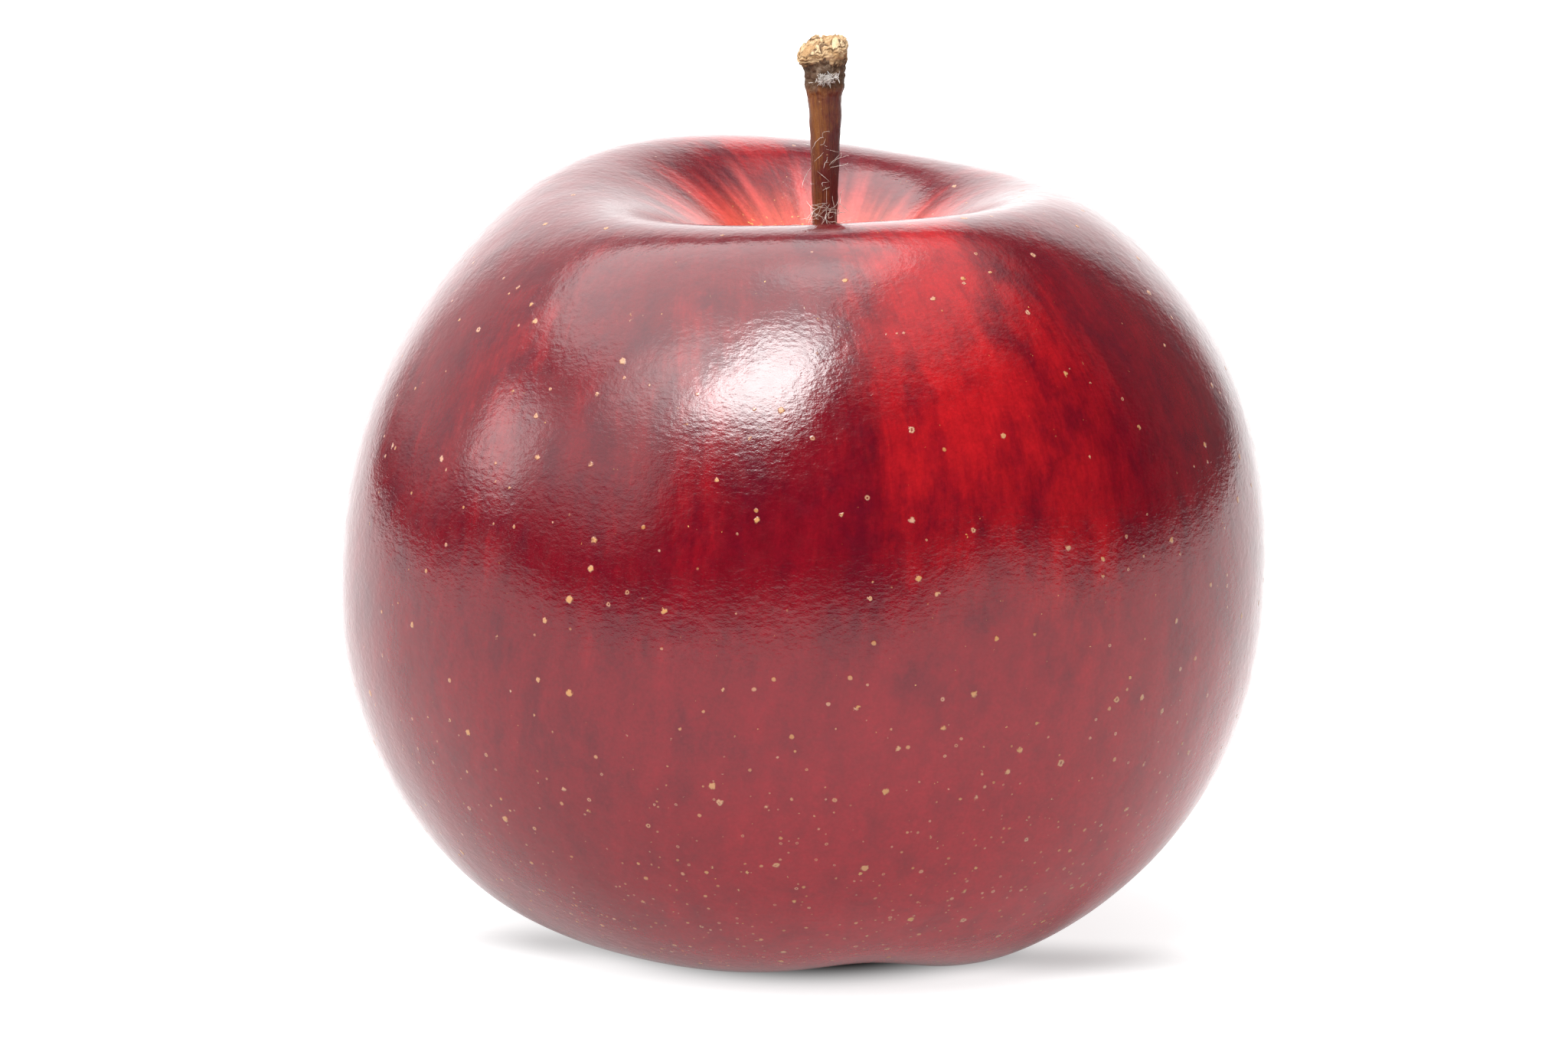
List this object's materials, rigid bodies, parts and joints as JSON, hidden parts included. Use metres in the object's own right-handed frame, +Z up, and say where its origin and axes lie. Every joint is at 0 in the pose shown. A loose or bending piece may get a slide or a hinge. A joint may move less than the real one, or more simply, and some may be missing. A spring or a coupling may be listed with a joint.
{
  "type": "apple",
  "caption": "Whole ripe red apple with its stalk in the stem bowl and dried sepals, stamens and styles in the eye underneath, standing on its base.",
  "frame": {"origin": "on the surface the apple stands on, under the middle of the fruit", "axes": "+Z up along the stalk, -Y towards the apple's front"},
  "size_m": [0.08, 0.08, 0.0778],
  "materials": {
    "skin": "waxed apple skin, deep crimson with brighter red streaks and tan lenticels, glossy",
    "bark": "dry ridged bark, amber brown, rough, with a pale corky end",
    "dry_leaf": "dried brown leaf, matt",
    "dry_tuft": "dried dark brown threads, matt"
  },
  "bodies": {
    "root": {"fruit": "skin", "stalk": "bark", "sepal_1": "dry_leaf", "sepal_2": "dry_leaf", "sepal_3": "dry_leaf", "sepal_4": "dry_leaf", "sepal_5": "dry_leaf", "stamens": "dry_tuft", "styles": "dry_tuft"}
  },
  "joints": []
}
